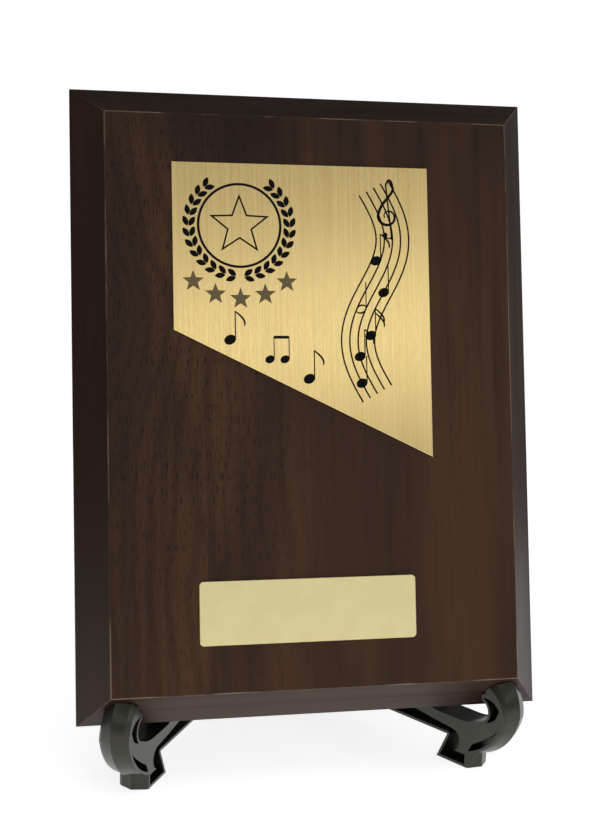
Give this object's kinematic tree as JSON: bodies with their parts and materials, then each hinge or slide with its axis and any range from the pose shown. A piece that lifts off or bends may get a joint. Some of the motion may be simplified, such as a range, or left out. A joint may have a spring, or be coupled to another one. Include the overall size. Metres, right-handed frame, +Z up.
{
  "type": "award plaque on easel",
  "caption": "Wooden award plaque with bevelled edges, a brushed gold plate and a small blank nameplate, standing on a folding black plastic easel.",
  "frame": {"origin": "centre of the underside of the whole object's bounding box, at table height", "axes": "+Z up, the plaque's face looks towards -Y and leans back towards +Y, +X to the right of someone looking at the face"},
  "size_m": [0.15, 0.1082, 0.2174],
  "materials": {
    "board_core": "raw fibreboard",
    "face_sheet": "dark walnut grain, satin lacquer",
    "bevel_sheet": "dark walnut grain, satin lacquer",
    "edge_band": "dark walnut grain, satin lacquer",
    "back_sheet": "black backing sheet",
    "brushed_plate": "brushed along its height, gold coloured",
    "nameplate": "satin, pale gold coloured",
    "glue_film": "double-sided glue film",
    "easel_plastic": "black moulded, satin",
    "hinge_pin": "drawn wire"
  },
  "bodies": {
    "left_leaf": {"easel_leaf_left": "easel_plastic", "hinge_pin": "hinge_pin"},
    "right_leaf": {"easel_leaf_right": "easel_plastic"},
    "plaque": {"board_core": "board_core", "face_sheet": "face_sheet", "back_sheet": "back_sheet", "bevel_sheet_left": "bevel_sheet", "bevel_sheet_right": "bevel_sheet", "bevel_sheet_top": "bevel_sheet", "bevel_sheet_bottom": "bevel_sheet", "edge_band_left": "edge_band", "edge_band_right": "edge_band", "edge_band_top": "edge_band", "edge_band_bottom": "edge_band", "brushed_plate": "brushed_plate", "plate_glue": "glue_film", "nameplate": "nameplate", "nameplate_glue": "glue_film"}
  },
  "joints": [
    {"name": "plaque_lift", "type": "slide", "parent": "left_leaf", "child": "plaque", "axis": [0, -0.2588, 0.9659], "range_m": [0, 0.15]},
    {"name": "leaf_fold", "type": "hinge", "parent": "left_leaf", "child": "right_leaf", "pos_m": [0, 0.04947, 0.03], "axis": [0, 0, -1], "range_deg": [0, 60]}
  ],
  "couplings": [
    {"joint": "leaf_fold", "follows": "plaque_lift", "rad_per_m": 6.98}
  ]
}
